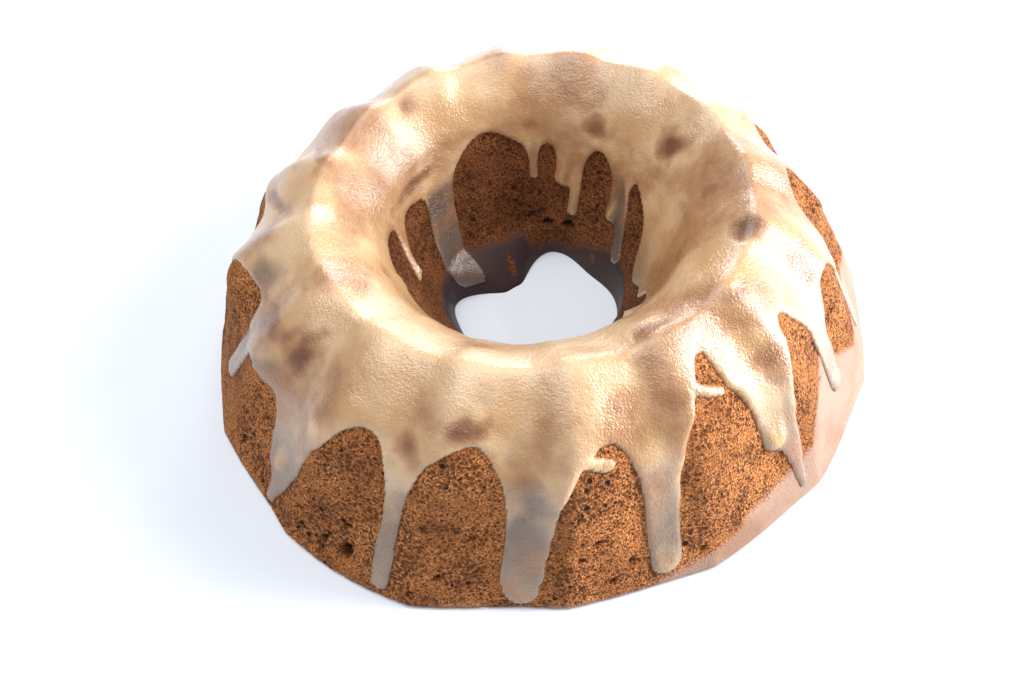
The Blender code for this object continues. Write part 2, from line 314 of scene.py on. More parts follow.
# %% [markdown]
# ## Where the icing lies
#
# Icing is poured on the crest and finds its own edge, so its outline is the level line
# of a field that says how deep inside the icing a place is. The sheet and each run are
# fields of their own, merged by a softened maximum so that a run flows out of the
# sheet as a liquid does. An outline drawn by hand would need hundreds of points.

# %% The icing's numbers
ICING_THICK = 0.0018
LOBE_THICK = 0.0014
LOBE_LENGTH = 0.0140
BEAD_WIDTH = 0.0026
OUTER_EDGE = 0.0640
INNER_EDGE = 0.1245
OUTER_BLEND = 0.0035
INNER_BLEND = 0.0016
FLARE_REACH = 0.0058
FLARE_LENGTH = 0.0300
INNER_FLARE = 0.35
EDGE_WAVES = ((5, 0.0012, 0.7), (11, 0.0010, 2.1))
OUTER_HUMPS = (
    (-149, 8, -0.0150), (-101, 5, 0.0050), (-80, 5, 0.0030), (-55.5, 6, 0.0185),
    (-37, 7, 0.0100), (5, 8, 0.0080), (118, 6, 0.0060), (164, 7, -0.0080),
)
INNER_HUMPS = (
    (104, 12, -0.0050), (138, 13, 0.0070), (-5, 27, 0.0270), (-150, 14, 0.0060),
)
# Runs: angle at the crest, drift, half-width, end and how much the end swells
OUTER_RUNS = (
    (-157.5, -5.0, 0.0044, 0.016, 0.0), (-146.0, 9.0, 0.0036, 0.018, 0.0),
    (-137.5, 0.0, 0.0040, 0.019, 1.0), (-136.8, 0.0, 0.0022, 0.005, 0.0),
    (-131.0, -5.0, 0.0034, 0.024, 0.0), (-115.5, 2.2, 0.0036, 0.004, 0.2),
    (-93.8, 1.1, 0.0052, 0.004, 0.3), (-89.0, -3.5, 0.0036, 0.014, 0.0),
    (-70.8, 0.0, 0.0055, 0.006, 0.6), (-47.6, 0.0, 0.0047, 0.028, 1.0),
    (-45.5, 1.5, 0.0025, 0.006, 0.0), (-27.2, 0.0, 0.0050, 0.018, 0.4),
    (-10.5, 1.0, 0.0050, 0.012, 0.3), (14.0, -1.0, 0.0044, 0.026, 0.8),
    (41.0, 1.0, 0.0052, 0.006, 0.3), (63.5, 0.0, 0.0044, 0.030, 1.0),
    (85.5, 1.5, 0.0054, 0.010, 0.4), (108.0, -1.0, 0.0046, 0.024, 0.9),
    (131.0, 0.0, 0.0050, 0.007, 0.3), (153.0, 1.0, 0.0044, 0.018, 0.6),
    (178.0, 1.0, 0.0042, 0.009, 0.3),
)
INNER_RUNS = (
    (86.8, 0.0, 0.0017, 0.1400, 0.0), (72.0, 0.0, 0.0033, 0.1415, 1.0),
    (65.0, -1.0, 0.0022, 0.1535, 0.5), (48.0, -27.0, 0.0032, 0.1600, 0.0),
    (39.5, 0.0, 0.0030, 0.1485, 1.0), (132.0, 26.0, 0.0068, 0.1685, 0.0),
    (163.0, 22.0, 0.0028, 0.1440, 0.8), (-158.0, 0.0, 0.0040, 0.1275, 0.5),
    (-118.0, 0.0, 0.0030, 0.1440, 0.8), (-84.0, 2.0, 0.0036, 0.1560, 0.6),
    (-46.0, 0.0, 0.0026, 0.1370, 0.8), (-20.0, 0.0, 0.0050, 0.1460, 0.0),
)
# Short tongues caught on the crumb: angle and mm along at either end, and half-width in mm
TONGUES = ((-84.5, 60.5, -79.8, 56.8, 2.1), (-63.5, 73.0, -56.3, 64.8, 1.9))
# The outline wavers by this much, at this size
WAVER = 0.0005
WAVER_SIZE = 0.0060
print(len(OUTER_RUNS), "runs outside,", len(INNER_RUNS), "in the hole and", len(TONGUES), "tongues")

# %% [markdown]
# The depth inside a run is a distance from its middle line, and the depth inside the
# sheet is a distance from its edge. A flare joins the two, because liquid that gathers
# before it runs leaves an arch on either side of the run.

# %% The icing as a field
def join(fields, blend):
    """Merge fields into their softened maximum: the log of the sum of their powers."""
    stack = np.stack(fields)
    top = stack.max(axis=0)
    return top + blend * np.log(np.exp((stack - top) / blend).sum(axis=0))


def run_field(angle, along, run, outside):
    """Return the depth inside a run, and its swelling.

    The depth is the half-width, plus a flare where the run leaves the sheet, less the
    distance from the run's middle line; past its end the distance is to a round tip.
    """
    place, drift, half, end, lobe = run
    sheet = OUTER_EDGE if outside else INNER_EDGE
    way = -1.0 if outside else 1.0
    scale = 1.0 if outside else INNER_FLARE
    travel = np.clip((along - sheet) / (end - sheet), 0.0, 1.2)
    middle = math.radians(place) + math.radians(drift) * travel
    across = np.abs(angle_gap(angle, middle)) * np.interp(along, SECTION_PLACE, SECTION_RADIUS)
    rising = 1 - way * (along - sheet) / (FLARE_LENGTH * scale)
    flare = FLARE_REACH * scale * np.clip(rising, 0.0, 1.0) ** 2
    past = np.maximum(way * (along - end) + half, 0.0)
    near_end = np.clip(1 - np.abs(along - end) / LOBE_LENGTH, 0.0, 1.0)
    return half + flare - np.hypot(across, past), lobe * near_end


def sheet_edge(angle, edge, humps):
    """Return where the sheet ends: its edge, plus slow waves, plus local humps."""
    for count, height, phase in EDGE_WAVES:
        edge = edge + height * np.sin(count * angle + phase)
    for centre, width, rise in humps:
        edge = edge + rise * hump(angle, centre, width)
    return edge


def tongue_field(angle, along, tongue):
    """Return the depth inside a tongue: its half-width less the distance to its line."""
    first, low, last, high, half = tongue
    radius = np.interp(along, SECTION_PLACE, SECTION_RADIUS)
    across = angle_gap(angle, math.radians(first)) * radius
    beside = along - low / 1000
    reach = math.radians(last - first) * radius
    rise = (high - low) / 1000
    part = np.clip((across * reach + beside * rise) / (reach ** 2 + rise ** 2), 0.0, 1.0)
    return half / 1000 - np.hypot(across - part * reach, beside - part * rise)


def icing(angle, along):
    """Return the depth inside the icing's outline, and the swelling of its drips."""
    outer = [run_field(angle, along, run, True) for run in OUTER_RUNS]
    inner = [run_field(angle, along, run, False) for run in INNER_RUNS]
    outer_sheet = along - sheet_edge(angle, OUTER_EDGE, OUTER_HUMPS)
    inner_sheet = sheet_edge(angle, INNER_EDGE, INNER_HUMPS) - along
    outside = join([outer_sheet] + [field for field, swell in outer], OUTER_BLEND)
    for tongue in TONGUES:
        outside = np.maximum(outside, tongue_field(angle, along, tongue))
    inside = join([inner_sheet] + [field for field, swell in inner], INNER_BLEND)
    depth = np.where(along < CREST_PLACE, outside, inside)
    depth = depth + WAVER * noise(ring(angle, along), WAVER_SIZE, 11)
    swelling = np.zeros_like(depth)
    for field, swell in outer + inner:
        swelling = np.maximum(swelling, swell * np.clip(field / BEAD_WIDTH, 0.0, 1.0))
    return np.minimum(depth, 4 * BEAD_WIDTH), swelling


covered = float((icing(sample_angle, sample_along)[0] > 0).mean())
print("the icing lies on", round(covered * 100), "percent of the grid")

# %% [markdown]
# ## The sponge
#
# A sponge's outside is an open crumb: a skin of small bubbles, many of them burst, with
# a few larger holes. Along the foot and down in the hole it baked against the tin into
# a smooth, paler or darker crust. The larger bubbles are carved into a fine mesh, all
# inwards, because they show at the outline; the finest grain is left to the material.

# %% Where the crust is smooth, and where the large holes are
# Height of the smooth crust above the outer foot, in mm, at angles in degrees: it is
# high at the front right, and next to nothing at the left
CRUST_ANGLES = (-180, -76, -68, -64, -52, -47, -41, -38, -33, -30, -26, -19, 0, 40, 80, 120, 180)
CRUST_LEVELS = (2, 2, 5, 8, 13, 16, 18, 28, 35, 40, 30, 22, 24, 20, 12, 6, 2)
# Where the skirt of the hole begins, in mm along the section
SKIRT_ANGLES = (-180, 20, 50, 60, 85, 100, 180)
SKIRT_LEVELS = (157, 158, 163, 167, 167, 160, 157)
# Large holes: angle, mm along, half-width, half-length and depth in mm
HOLES = (
    (-148, 13, 1.5, 2.4, 3.0), (-120, 12, 2.2, 3.4, 4.5), (-124, 13, 1.3, 1.3, 2.5),
    (-121, 22, 1.5, 1.0, 2.0), (-130, 18, 2.4, 0.9, 2.0), (-105, 15, 1.4, 1.0, 2.2),
    (-108.5, 7, 1.2, 1.0, 2.0), (-81.5, 27, 2.2, 1.1, 2.6), (-84, 22, 1.1, 1.1, 2.0),
    (-76, 15, 1.3, 1.3, 2.4), (-79, 10, 1.1, 1.0, 1.8), (-65, 12, 1.2, 1.2, 2.0),
    (-56.5, 20, 1.6, 1.0, 2.2), (-51, 21, 1.0, 1.2, 1.8), (-33, 33, 1.9, 1.1, 2.2),
    (-144, 26, 1.2, 1.0, 1.8), (-152, 30, 1.0, 1.2, 1.6), (-101, 30, 1.2, 0.9, 1.8),
    (65.5, 157.5, 2.6, 1.5, 3.2), (79, 157.5, 2.0, 1.2, 3.0), (108, 20, 1.6, 1.1, 2.2),
    (93, 155, 9.0, 0.35, 1.2), (72, 157, 7.0, 0.35, 1.2), (98, 143, 1.2, 0.8, 1.8),
    (110, 139, 1.0, 0.8, 1.6), (84, 146, 1.0, 1.2, 1.6), (60, 141, 0.9, 1.1, 1.6),
    (126, 150, 1.2, 0.9, 1.8), (50, 146, 0.8, 1.4, 1.6), (174, 137, 1.0, 1.0, 1.6),
    (150, 16, 1.3, 1.6, 2.4), (20, 35, 1.4, 1.0, 2.0), (52, 24, 1.7, 1.1, 2.4),
    (88, 33, 1.2, 1.2, 2.0), (128, 30, 1.4, 1.0, 2.0), (-165, 18, 1.2, 1.5, 2.2),
)
# The edge of the crust is blended over this length, and wanders by these amounts and sizes
CRUST_BLEND = 0.0020
WANDERS = ((0.0022, 0.014), (0.0010, 0.005))
# Spots of bare crumb on the skirt: angle and mm along, then half-widths in degrees and mm
SKIRT_SPOTS = ((114.5, 166.5, 4.5, 2.6), (40.0, 165.0, 3.0, 1.4))
SPOT_FRAY = 0.3
FOOT_FADE = 0.0030
print(len(HOLES), "large holes")


def smooth(value, low, high):
    """Return 0 below low and 1 above high, with an even S between: t squared times 3 less 2t."""
    part = np.clip((value - low) / (high - low), 0.0, 1.0)
    return part * part * (3 - 2 * part)


def crust_amounts(angle, along, points):
    """Return the share of pale crust at the outer foot, and of dark skirt in the hole."""
    degrees = np.degrees(angle_gap(angle, 0.0))
    wander = layered(points, WANDERS, 21)
    level = np.interp(degrees, CRUST_ANGLES, CRUST_LEVELS) / 1000
    crust = smooth(level + wander - along, -CRUST_BLEND, CRUST_BLEND)
    start = np.interp(degrees, SKIRT_ANGLES, SKIRT_LEVELS) / 1000
    skirt = smooth(along - start + wander, -CRUST_BLEND, CRUST_BLEND)
    for place, level, wide, tall in SKIRT_SPOTS:
        across = np.degrees(angle_gap(angle, math.radians(place))) / wide
        away = np.hypot(across, (along * 1000 - level) / tall) + SPOT_FRAY * noise(points, 0.002, 25)
        skirt = skirt * smooth(away, 0.7, 1.1)
    return crust, skirt


def hole_depth(angle, along):
    """Return the depth of the large holes: each a bowl, steep at its rim."""
    depth = np.zeros(np.broadcast(angle, along).shape)
    radius = np.interp(along, SECTION_PLACE, SECTION_RADIUS)
    for place, level, wide, tall, deep in HOLES:
        across = angle_gap(angle, math.radians(place)) * radius / (wide / 1000)
        beside = (along - level / 1000) / (tall / 1000)
        bowl = np.sqrt(np.clip(1 - across ** 2 - beside ** 2, 0.0, 1.0))
        depth = np.maximum(depth, bowl * deep / 1000)
    return depth


# %% [markdown]
# Both pieces are grids laid over the ring, so three helpers serve them: one spaces the
# rows, one lists the triangles of a grid that closes on itself, and one turns arrays
# into a mesh. Arrays are quicker than adding points one by one.

# %% Helpers for meshes
def spaced(stops, count):
    """Spread places so that their spacing follows the stops, by adding up the density."""
    lengths, spacings = np.array(stops).T
    fine = np.linspace(lengths[0], lengths[-1], 2000)
    density = 1 / np.interp(fine, lengths, spacings)
    total = np.concatenate([[0.0], np.cumsum((density[1:] + density[:-1]) / 2)])
    return np.interp(np.linspace(0.0, total[-1], count), total, fine)


def ring_faces(columns, rows, closed):
    """Return the triangles of a grid that closes round the ring, and over its foot if asked."""
    column = np.arange(columns)[:, None]
    row = np.arange(rows if closed else rows - 1)[None, :]
    here = column * rows + row
    there = (column + 1) % columns * rows + row
    here_next = column * rows + (row + 1) % rows
    there_next = (column + 1) % columns * rows + (row + 1) % rows
    lower = np.stack([here, there, there_next], axis=-1).reshape(-1, 3)
    upper = np.stack([here, there_next, here_next], axis=-1).reshape(-1, 3)
    return np.concatenate([lower, upper])


def make_piece(name, points, faces, attributes):
    """Put arrays of points, triangles and point values into a smooth mesh object."""
    mesh = bpy.data.meshes.new(name)
    mesh.vertices.add(len(points))
    mesh.vertices.foreach_set("co", points.astype(np.float32).ravel())
    mesh.loops.add(faces.size)
    mesh.loops.foreach_set("vertex_index", faces.astype(np.int32).ravel())
    mesh.polygons.add(len(faces))
    mesh.polygons.foreach_set("loop_start", np.arange(0, faces.size, 3, dtype=np.int32))
    mesh.update(calc_edges=True)
    mesh.validate()
    mesh.shade_smooth()
    for label, values in attributes.items():
        layer = mesh.attributes.new(label, "FLOAT", "POINT")
        layer.data.foreach_set("value", values.astype(np.float32).ravel())
    piece = bpy.data.objects.new(name, mesh)
    bpy.context.scene.collection.objects.link(piece)
    print(name, "has", len(mesh.polygons), "triangles")
    return piece


# %% [markdown]
# The sponge's rows lie closer together where crumb shows. Each point moves inwards by
# the bubbles and holes found there. How open the crumb is goes into the mesh as
# attributes, so the material can paint shade into the holes.

# %% The sponge's mesh
SPONGE_COLUMNS = FLUTES * 48
SPONGE_ROWS = 126
UNDER_ROWS = 3
# Bubbles: spacing, least and most radius, share of the cells and salt; then their depths
MEDIUM_BUBBLES = (0.0060, 0.0007, 0.0019, 0.55, 31)
SMALL_BUBBLES = (0.0030, 0.0005, 0.0012, 0.60, 41)
MEDIUM_DEPTH = 0.0013
SMALL_DEPTH = 0.0007
LUMPS = 0.00025
LUMP_SIZE = 0.0032
# The skirt is this much smoother than the crumb
SKIRT_SMOOTH = 0.8
# Painted shade: a point that is carved deeper than the first depth is painted dark, and fully so by the
# second
PIT_SHADE_FROM = 0.0006
PIT_SHADE_TO = 0.0022
# The sponge stays this far inside its solid
SKIN = 0.00003
# Painted shade: the crumb darkens between these two places, down into the hole
PAINTED_SHADE_FROM = 0.108
PAINTED_SHADE_TO = 0.130
SPONGE_STOPS = (
    (0.0, 0.0012), (0.066, 0.0012), (0.074, 0.0022), (0.108, 0.0022), (0.116, 0.0012), (LENGTH, 0.0012),
)


def make_sponge():
    """Lay the grid over the ring, carve the crumb inwards, and close it underneath."""
    angles = FIRST_RIDGE + np.arange(SPONGE_COLUMNS) * 2 * math.pi / SPONGE_COLUMNS
    places = spaced(SPONGE_STOPS, SPONGE_ROWS)
    angle, along = np.meshgrid(angles, places, indexing="ij")
    points = ring(angle, along)
    normals = ring_normals(angle, along)
    crust, skirt = crust_amounts(angle, along, points)
    bare = 1 - smooth(icing(angle, along)[0], -0.0004, 0.0006)
    open_crumb = bare * (1 - crust) * (1 - SKIRT_SMOOTH * skirt)
    open_crumb = open_crumb * smooth(along, 0.0, FOOT_FADE) * smooth(LENGTH - along, 0.0, FOOT_FADE)
    medium = np.sqrt(np.clip(bubbles(points, *MEDIUM_BUBBLES), 0.0, 1.0))
    small = np.sqrt(np.clip(bubbles(points, *SMALL_BUBBLES), 0.0, 1.0))
    holes = hole_depth(angle, along)
    lumps = LUMPS * (1 + noise(points, LUMP_SIZE, 51))
    depth = open_crumb * (MEDIUM_DEPTH * medium + SMALL_DEPTH * small + lumps)
    deep = np.maximum(depth, holes * smooth(bare, 0.2, 0.8))
    points = points - normals * (deep + SKIN)[..., None]
    points[..., 2] = np.maximum(points[..., 2], 0.0)
    # painted shade in the carved bubbles and holes
    pit_shade = np.clip((deep - PIT_SHADE_FROM) / (PIT_SHADE_TO - PIT_SHADE_FROM), 0.0, 1.0)
    part = np.linspace(0.0, 1.0, UNDER_ROWS + 2)[1:-1, None]
    under = points[:, -1:, :] * (1 - part) + points[:, :1, :] * part
    points = np.concatenate([points, under], axis=1)
    flat = np.zeros((SPONGE_COLUMNS, UNDER_ROWS))
    values = {
        "pit_shade": np.concatenate([pit_shade, flat], axis=1),
        "crust": np.concatenate([crust, flat + 1], axis=1),
        "skirt": np.concatenate([skirt, flat], axis=1),
        # painted shade, deepening down into the hole
        "hole": np.concatenate([smooth(along, PAINTED_SHADE_FROM, PAINTED_SHADE_TO), flat], axis=1),
    }
    faces = ring_faces(SPONGE_COLUMNS, SPONGE_ROWS + UNDER_ROWS, True)
    return make_piece("sponge_ring", points.reshape(-1, 3), faces, values)


sponge = make_sponge()
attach(sponge, "root")
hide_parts("cake")

# %% [markdown]
# ## The icing
#
# Icing is a liquid that set: thick and cloudy in its drips, thin and brown over the
# ridges, and a clear grey film where it ran off, its grey partly a painted reflection of
# the sky. These places can be painted by hand or left to chance. Here the clear ones are
# ovals in a list, with edges frayed by noise, and chance fills in the clouds between them.

# %% Thin places and films
# Angle, mm along, half-width in degrees, half-length in mm, slant in degrees per mm, amount
THIN_PLACES = (
    (-157.5, 65.5, 8.0, 6.0, 0.0, 0.85), (-144.5, 67.5, 6.0, 10.0, 0.0, 0.95),
    (-156.0, 82.5, 2.5, 3.0, 0.0, 0.50), (-160.5, 117.0, 3.0, 2.5, 0.0, 0.45),
    (-114.5, 61.0, 3.0, 7.0, 0.0, 0.75), (-105.0, 70.0, 4.5, 4.5, 0.0, 0.90),
    (-94.5, 55.0, 4.0, 6.0, 0.0, 0.55), (-62.0, 95.0, 8.0, 4.5, 0.6, 0.75),
    (-41.5, 85.0, 7.0, 4.5, 0.0, 0.80), (-20.0, 91.5, 5.0, 6.0, 0.0, 1.00),
    (0.0, 106.0, 5.5, 8.5, 0.0, 0.75), (26.5, 109.0, 7.0, 8.0, 0.0, 1.00),
    (59.0, 116.0, 7.0, 4.5, 0.0, 0.85), (87.0, 117.0, 5.5, 5.0, 0.0, 0.60),
    (129.0, 97.0, 4.5, 5.0, 0.0, 0.80), (149.0, 121.0, 21.0, 2.5, 0.0, 0.90),
    (157.0, 82.0, 2.8, 13.0, 0.6, 0.70), (172.0, 72.0, 3.0, 13.0, 0.6, 0.75),
    (38.0, 74.0, 5.0, 6.0, 0.3, 0.60), (72.0, 70.0, 4.5, 5.0, 0.0, 0.60),
    (100.0, 74.0, 5.0, 5.0, 0.0, 0.65), (-64.5, 69.0, 3.0, 5.0, 0.0, 0.65),
    (-37.5, 87.5, 0.8, 0.9, 0.0, 1.00),
)
# Films through which the cake shows grey, a grey that is partly a painted reflection of the sky: the same
# numbers
FILM_PLACES = (
    (-167.0, 70.0, 5.0, 9.0, 0.0, 0.60), (-154.0, 60.0, 5.0, 8.0, 0.0, 0.60),
    (-161.0, 44.0, 6.0, 20.0, 0.0, 0.90), (-148.0, 52.0, 7.0, 14.0, 0.3, 0.65),
    (-113.0, 30.0, 5.0, 26.0, 0.0, 0.65), (-92.5, 30.0, 6.0, 28.0, 0.0, 0.70),
    (-44.0, 35.0, 2.0, 34.0, 0.0, 0.50), (-103.0, 82.0, 6.0, 6.0, 0.0, 0.30),
    (141.5, 143.0, 13.0, 18.0, 0.45, 1.00), (156.0, 161.0, 14.0, 13.0, 0.9, 1.00),
    (33.0, 146.0, 14.0, 18.0, -0.9, 0.95), (86.8, 133.0, 3.0, 9.0, 0.0, 0.60),
    (-75.0, 60.0, 3.0, 10.0, 0.0, 0.25),
)
# The wide band and the thin streak in the hole are films all over, from here down
FILM_RUNS = (INNER_RUNS[3], INNER_RUNS[5])
FILM_RUN_STARTS = (0.125, 0.134)
# Film of the runs outside and in the hole: its amount, and between which places it sets in
OUTER_FILM = (0.66, 0.022, 0.062)
INNER_FILM = (0.50, 0.128, 0.150)
# A drip is too thick to be a film
DRIP_CLOUDY = 0.9
# Thin streaks along the ridges: half-width in degrees, offset in flutes, amount
RIDGE_WIDTH = 5.5
RIDGE_SIDE = 0.14
RIDGE_THIN = 0.90
# The streaks set in and fade out between these places
STREAK_STARTS = (0.050, 0.062)
STREAK_ENDS = (0.070, 0.092)
# Thin clouds all over: the amount, and the amounts and sizes of their noise
CLOUD_THIN = 0.52
CLOUDS = ((1.0, 0.020), (0.5, 0.009))
# The same for the frayed edges of the ovals, which fade between these distances
FRAYS = ((0.45, 0.0070), (0.25, 0.0032))
OVAL_EDGES = (0.1, 1.5)
print(len(THIN_PLACES), "thin places and", len(FILM_PLACES) + len(FILM_RUNS), "films")


def ovals(angle, along, points, places, salt):
    """Return the largest of many oval patches: each fades from its middle, with a frayed edge."""
    fray = layered(points, FRAYS, salt)
    most = np.zeros(points.shape[:-1])
    for place, level, wide, tall, slant, amount in places:
        rise = (along - level / 1000) * 1000
        across = np.degrees(angle_gap(angle, math.radians(place))) - slant * rise
        away = np.hypot(across / wide, rise / tall) + fray
        most = np.maximum(most, amount * (1 - smooth(away, *OVAL_EDGES)))
    return most


def thinness(angle, along, points):
    """Return how thin the icing is: frayed ovals, slow clouds, and the tops of the ridges."""
    thin = CLOUD_THIN * smooth(layered(points, CLOUDS, 61), -0.3, 0.9)
    part = ((angle - FIRST_RIDGE) * FLUTES / (2 * math.pi) + 0.5 + RIDGE_SIDE) % 1.0 - 0.5
    away = np.abs(part) * 360 / FLUTES / RIDGE_WIDTH
    shoulder = smooth(along, *STREAK_STARTS) * (1 - smooth(along, *STREAK_ENDS))
    ridge = np.exp(-away ** 2) * shoulder * (0.6 + 0.6 * noise(points, 0.010, 65))
    thin = np.maximum(thin, RIDGE_THIN * ridge)
    return np.maximum(thin, ovals(angle, along, points, THIN_PLACES, 63))


def filminess(angle, along, points, swell):
    """Return how much of a clear film the icing is: more down its runs, none in a drip."""
    outer = OUTER_FILM[0] * (1 - smooth(along, *OUTER_FILM[1:]))
    inner = INNER_FILM[0] * smooth(along, *INNER_FILM[1:])
    film = np.where(along < CREST_PLACE, outer, inner)
    film = np.maximum(film, ovals(angle, along, points, FILM_PLACES, 67))
    for run in FILM_RUNS:
        inside = smooth(run_field(angle, along, run, False)[0], -0.0010, 0.0008)
        film = np.maximum(film, inside * smooth(along, *FILM_RUN_STARTS))
    return film * (1 - DRIP_CLOUDY * swell)


# %% [markdown]
# The icing is made as a closed skin. The same grid is laid over the ring, its triangles
# are cut where the field crosses zero, and the top is raised by the thickness, which
# falls to nothing at the cut as a quarter circle does. That gives the rounded bead
# along the edge. A Solidify modifier would leave the edge square.

# %% The icing's mesh
ICING_COLUMNS = FLUTES * 40
ICING_ROWS = 118
ICING_STOPS = (
    (0.0030, 0.0014), (0.058, 0.0014), (0.062, 0.0012), (0.126, 0.0012), (0.130, 0.0014), (0.1670, 0.0014),
)
# How far the underside lies inside the crumb, and the least thickness behind the edge
SINK = 0.0004
LEAST_BODY = 0.0007
# What thin places, films and chance take off the thickness
THIN_LOSS = 0.5
FILM_LOSS = 0.6
UNEVEN_LOSS = 0.00042
UNEVEN = ((1.0, 0.014), (0.5, 0.006))
# New corners keep this share of a side away from its ends
CUT_MARGIN = 0.06


def cut_triangles(triangles, depth):
    """Keep the part of each triangle where the depth is above zero.

    A triangle with one corner inside keeps a smaller triangle, and one with two keeps
    a strip of two. New corners are numbered by the side of the grid that they cut.
    """
    inside = depth[triangles] > 0
    count = inside.sum(axis=1)
    whole = triangles[count == 3]
    turn = np.arange(3)
    one = triangles[count == 1]
    first = inside[count == 1].argmax(axis=1)
    one = np.take_along_axis(one, (first[:, None] + turn) % 3, axis=1)
    two = triangles[count == 2]
    first = (~inside[count == 2]).argmax(axis=1)
    two = np.take_along_axis(two, (first[:, None] + turn) % 3, axis=1)
    sides = np.concatenate([one[:, [0, 1]], one[:, [0, 2]], two[:, [0, 1]], two[:, [0, 2]]])
    sides = np.sort(sides, axis=1)
    pairs, number = np.unique(sides, axis=0, return_inverse=True)
    number = number.reshape(-1) + len(depth)
    a, b, c, d = np.split(number, [len(one), 2 * len(one), 2 * len(one) + len(two)])
    faces = np.concatenate([
        whole,
        np.stack([one[:, 0], a, b], axis=1),
        np.stack([c, two[:, 1], two[:, 2]], axis=1),
        np.stack([c, two[:, 2], d], axis=1),
    ])
    return faces, pairs


def make_icing():
    """Cut the grid along the icing's edge, and raise a top and lay an underside on it."""
    angles = FIRST_RIDGE + np.arange(ICING_COLUMNS) * 2 * math.pi / ICING_COLUMNS
    places = spaced(ICING_STOPS, ICING_ROWS)
    angle, along = np.meshgrid(angles, places, indexing="ij")
    base = ring(angle, along)
    normals = ring_normals(angle, along).reshape(-1, 3)
    depth, swell = icing(angle, along)
    thin = thinness(angle, along, base).reshape(-1)
    film = filminess(angle, along, base, swell).reshape(-1)
    base = base.reshape(-1, 3)
    depth = depth.reshape(-1)
    swell = swell.reshape(-1)
    faces, pairs = cut_triangles(ring_faces(ICING_COLUMNS, ICING_ROWS, False), depth)
    first, second = pairs.T
    part = depth[first] / (depth[first] - depth[second])
    part = np.clip(part, CUT_MARGIN, 1 - CUT_MARGIN)[:, None]
    rim = base[first] * (1 - part) + base[second] * part
    rim_normal = normals[first] * (1 - part) + normals[second] * part
    rim_thin = thin[first] * (1 - part[:, 0]) + thin[second] * part[:, 0]
    rim_film = film[first] * (1 - part[:, 0]) + film[second] * part[:, 0]
    bead = 1 - np.clip(depth / BEAD_WIDTH, 0.0, 1.0)
    body = ICING_THICK * (1 - THIN_LOSS * thin) * (1 - FILM_LOSS * film) + LOBE_THICK * swell
    uneven = 1.5 - layered(base, UNEVEN, 71)
    body = np.maximum(body - UNEVEN_LOSS * uneven * (1 - swell), LEAST_BODY)
    raised = body * np.sqrt(1 - bead ** 2)
    top = base + normals * raised[:, None]
    under = base - normals * SINK
    count = len(base)
    shared = len(rim)
    lowest = rim - rim_normal * SINK * 0.5
    points = np.concatenate([top, lowest, under])
    bottom = np.where(faces < count, faces + count + shared, faces)[:, ::-1]
    faces = np.concatenate([faces, bottom])
    values = {
        "thin": np.concatenate([thin, rim_thin, thin]),
        "film": np.concatenate([film, rim_film, film]),
        "lobe": np.concatenate([swell, np.zeros(shared), swell]),
    }
    used, faces = np.unique(faces, return_inverse=True)
    faces = faces.reshape(-1, 3)
    values = {label: value[used] for label, value in values.items()}
    return make_piece("icing_skin", points[used], faces, values)


glaze = make_icing()
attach(glaze, "root")
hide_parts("glaze")

# %% [markdown]
# ## Finishes
#
# Both materials are built from nodes. A few helpers keep the cells short: they add a
# node with its values, mix two colours by a mask, map a range of values, combine two
# values, and read a value that the mesh carries.

# %% Helpers for nodes
def add(tree, kind, settings=(), **values):
    """Add a node, set its properties, and fill or link its inputs.

    An input is given by its name, with _ for a space, or as i0, i1 and so on by number.
    """
    node = tree.nodes.new(kind)
    for key, value in dict(settings).items():
        setattr(node, key, value)
    for key, value in values.items():
        numbered = key[0] == "i" and key[1:].isdigit()
        socket = node.inputs[int(key[1:]) if numbered else key.replace("_", " ")]
        if isinstance(value, bpy.types.NodeSocket):
            tree.links.new(value, socket)
        else:
            socket.default_value = value
    return node


def mix(tree, mask, first, second):
    """Blend from the first colour to the second by a mask."""
    node = add(tree, "ShaderNodeMix", {"data_type": "RGBA"})
    for socket, value in ((node.inputs[0], mask), (node.inputs[6], first), (node.inputs[7], second)):
        if isinstance(value, bpy.types.NodeSocket):
            tree.links.new(value, socket)
        else:
            socket.default_value = value
    return node.outputs[2]


def span(tree, value, low, high, start=0.0, end=1.0):
    """Map a value from one range to another, and stop at its ends."""
    node = add(tree, "ShaderNodeMapRange", {"interpolation_type": "SMOOTHSTEP"}, Value=value)
    node.inputs["From Min"].default_value = low
    node.inputs["From Max"].default_value = high
    node.inputs["To Min"].default_value = start
    node.inputs["To Max"].default_value = end
    return node.outputs["Result"]


def maths(tree, operation, first, second):
    """Combine two values by one operation."""
    return add(tree, "ShaderNodeMath", {"operation": operation}, i0=first, i1=second).outputs[0]


def attribute(tree, label):
    """Read a value that the mesh carries at its points."""
    return add(tree, "ShaderNodeAttribute", {"attribute_name": label}).outputs["Fac"]


# %% [markdown]
# Crumb shows on the bare sponge, and faintly through thin icing, so its grain is one
# node group that both materials use: fine cells for the walls of the bubbles, and
# sparser dots for the pores between them, which the sponge paints dark as painted shade.

# %% The crumb grain
GRAIN_SCALE = 1500.0
PIT_SCALES = (700.0, 1250.0)
PORE_SCALE = 230.0


